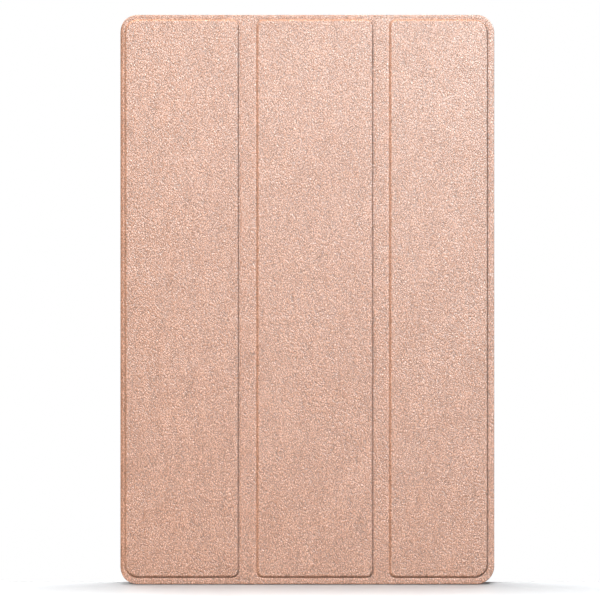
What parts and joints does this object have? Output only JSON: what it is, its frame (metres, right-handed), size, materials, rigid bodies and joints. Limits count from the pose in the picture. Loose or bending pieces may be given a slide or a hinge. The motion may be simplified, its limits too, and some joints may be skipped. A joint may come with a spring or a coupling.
{
  "type": "tablet computer in a tri-fold folio case",
  "caption": "Thin slate tablet computer held in a hard tray inside a closed tri-fold leatherette folio with stiff cover panels, hinged spine, side keys and a camera window.",
  "frame": {"origin": "centre of the footprint on the back cover's outer face, the face the closed case lies on", "axes": "+X from the spine to the cover's free edge, +Y along the long side to the top edge, +Z out of the front cover"},
  "size_m": [0.171, 0.26, 0.0118],
  "materials": {
    "leatherette": "fine pebble grain, pearl sheen",
    "microfibre_lining": "short-nap microfibre",
    "stiffener_board": "matt",
    "magnet": "nickel plated",
    "tray_plastic": "satin",
    "anodised_aluminium": "fine bead-blasted",
    "cover_glass": "polished",
    "adhesive": "foam tape",
    "display": "dark, switched off",
    "sheet_metal": "rolled",
    "screw_steel": "machined",
    "battery_foil": "laminated foil",
    "circuit_board": "solder mask",
    "shield_steel": "stamped",
    "chip_plastic": "moulded",
    "flex_film": "polyimide film",
    "speaker_plastic": "moulded",
    "camera_ring_metal": "polished bevel",
    "camera_glass": "coated",
    "flash_diffuser": "clear yellowish",
    "gold_contact": "gold plated"
  },
  "bodies": {
    "tablet_and_tray": {"hard_tray": "tray_plastic", "back_leather": "leatherette", "rear_housing": "anodised_aluminium", "cover_glass": "cover_glass", "display_adhesive": "adhesive", "display_panel": "display", "mid_plate": "sheet_metal", "mid_plate_screws": "screw_steel", "battery_cell_left": "battery_foil", "battery_cell_right": "battery_foil", "battery_board": "circuit_board", "battery_adhesive": "adhesive", "main_board": "circuit_board", "board_screws": "screw_steel", "processor_shield": "shield_steel", "power_chip_shield": "shield_steel", "memory_chips": "chip_plastic", "board_connectors": "chip_plastic", "card_socket": "shield_steel", "hall_sensor": "chip_plastic", "sub_board": "circuit_board", "usb_c_receptacle": "shield_steel", "link_flex": "flex_film", "display_flex": "flex_film", "speaker_top_left": "speaker_plastic", "speaker_top_right": "speaker_plastic", "speaker_bottom_left": "speaker_plastic", "speaker_bottom_right": "speaker_plastic", "rear_camera_module": "chip_plastic", "rear_camera_ring": "camera_ring_metal", "rear_camera_lens": "camera_glass", "flash_lens": "flash_diffuser", "front_camera_module": "chip_plastic", "microphones": "gold_contact", "button_flex": "flex_film", "antenna_left": "gold_contact", "antenna_right": "gold_contact", "frame_magnets": "magnet"},
    "spine": {"spine_leather": "leatherette", "spine_board": "stiffener_board", "spine_lining": "microfibre_lining"},
    "cover_panel_1": {"panel_1_leather": "leatherette", "panel_1_board": "stiffener_board", "panel_1_lining": "microfibre_lining", "panel_1_magnets": "magnet"},
    "cover_panel_2": {"panel_2_leather": "leatherette", "panel_2_board": "stiffener_board", "panel_2_lining": "microfibre_lining"},
    "cover_panel_3": {"panel_3_leather": "leatherette", "panel_3_board": "stiffener_board", "panel_3_lining": "microfibre_lining", "panel_3_magnets": "magnet", "wake_magnet": "magnet"},
    "power_button": {"power_button": "anodised_aluminium"},
    "volume_rocker": {"volume_rocker": "anodised_aluminium"},
    "card_tray": {"card_tray": "anodised_aluminium"}
  },
  "joints": [
    {"name": "spine_hinge", "type": "hinge", "parent": "tablet_and_tray", "child": "spine", "pos_m": [-0.0857, 0, -0.0002], "axis": [0, -1, 0], "range_deg": [0, 265]},
    {"name": "cover_hinge", "type": "hinge", "parent": "spine", "child": "cover_panel_1", "pos_m": [-0.0857, 0, 0.012], "axis": [0, -1, 0], "range_deg": [0, 90]},
    {"name": "fold_1", "type": "hinge", "parent": "cover_panel_1", "child": "cover_panel_2", "pos_m": [-0.02705, 0, 0.01195], "axis": [0, 1, 0], "range_deg": [-180, 0]},
    {"name": "fold_2", "type": "hinge", "parent": "cover_panel_2", "child": "cover_panel_3", "pos_m": [0.0339, 0, 0.01195], "axis": [0, -1, 0], "range_deg": [0, 180]},
    {"name": "power_button_press", "type": "slide", "parent": "tablet_and_tray", "child": "power_button", "axis": [-1, 0, 0], "range_m": [0, 0.0003], "stiffness_N_per_m": 2000},
    {"name": "volume_rocker_tilt", "type": "hinge", "parent": "tablet_and_tray", "child": "volume_rocker", "pos_m": [0.0821, 0.068, 0.0048], "axis": [0, 0, 1], "range_deg": [-1.5, 1.5], "stiffness_Nm_per_rad": 0.57},
    {"name": "card_tray_slide", "type": "slide", "parent": "tablet_and_tray", "child": "card_tray", "axis": [1, 0, 0], "range_m": [0, 0.022]}
  ]
}
